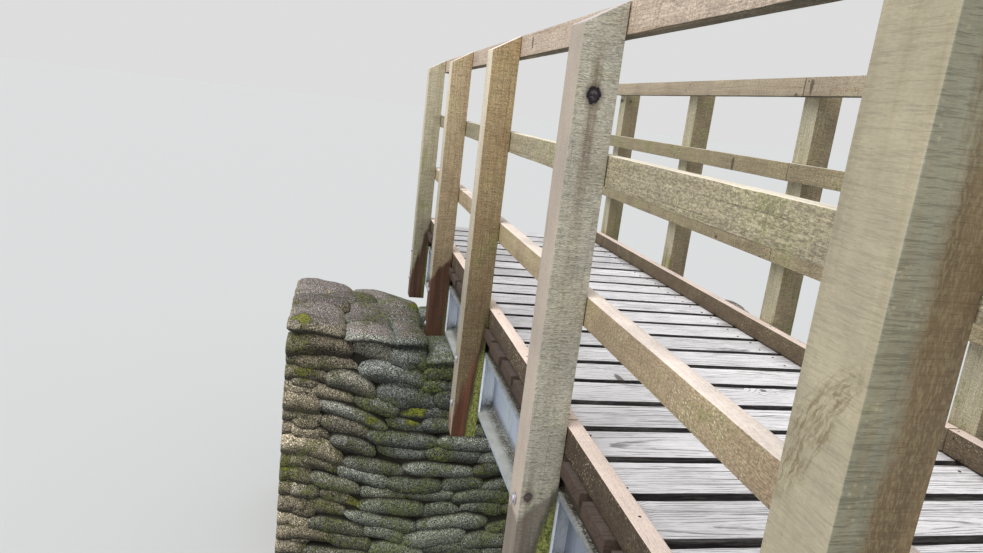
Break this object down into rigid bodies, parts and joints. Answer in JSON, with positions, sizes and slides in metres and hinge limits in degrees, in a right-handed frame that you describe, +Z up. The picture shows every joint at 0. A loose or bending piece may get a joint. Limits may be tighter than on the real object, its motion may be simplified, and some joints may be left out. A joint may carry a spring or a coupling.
{
  "type": "wooden footbridge",
  "caption": "Timber footbridge with post-and-rail parapets and a boarded deck on two steel joists, resting on bagwork abutments.",
  "frame": {"origin": "on the ground in the middle of the bridge", "axes": "+X across the bridge, +Y along it from the near bank to the far bank, +Z up"},
  "size_m": [2.8, 6.58, 2.63],
  "materials": {
    "post_timber": "rough sawn, weathered",
    "rail_timber": "rough sawn, weathered",
    "deck_timber": "weathered silver grey",
    "bearer_timber": "damp, dark",
    "galvanised_steel": "dull galvanised",
    "bagwork": "rough, mossy"
  },
  "bodies": {
    "root": {"abutment_far": "bagwork", "abutment_near": "bagwork", "bearer_left": "bearer_timber", "bearer_right": "bearer_timber", "deck_bay_1": "deck_timber", "deck_bay_2": "deck_timber", "deck_bay_3": "deck_timber", "deck_bay_4": "deck_timber", "deck_bay_5": "deck_timber", "deck_bay_6": "deck_timber", "joist_left": "galvanised_steel", "joist_right": "galvanised_steel", "kerb_left": "rail_timber", "kerb_right": "rail_timber", "low_rail_left": "rail_timber", "low_rail_right": "rail_timber", "mid_rail_left": "rail_timber", "mid_rail_right": "rail_timber", "post_cleats_left": "galvanised_steel", "post_cleats_right": "galvanised_steel", "post_left_1": "post_timber", "post_left_2": "post_timber", "post_left_3": "post_timber", "post_left_4": "post_timber", "post_left_5": "post_timber", "post_left_6": "post_timber", "post_left_7": "post_timber", "post_right_1": "post_timber", "post_right_2": "post_timber", "post_right_3": "post_timber", "post_right_4": "post_timber", "post_right_5": "post_timber", "post_right_6": "post_timber", "post_right_7": "post_timber", "top_rail_left": "rail_timber", "top_rail_right": "rail_timber"}
  },
  "joints": []
}
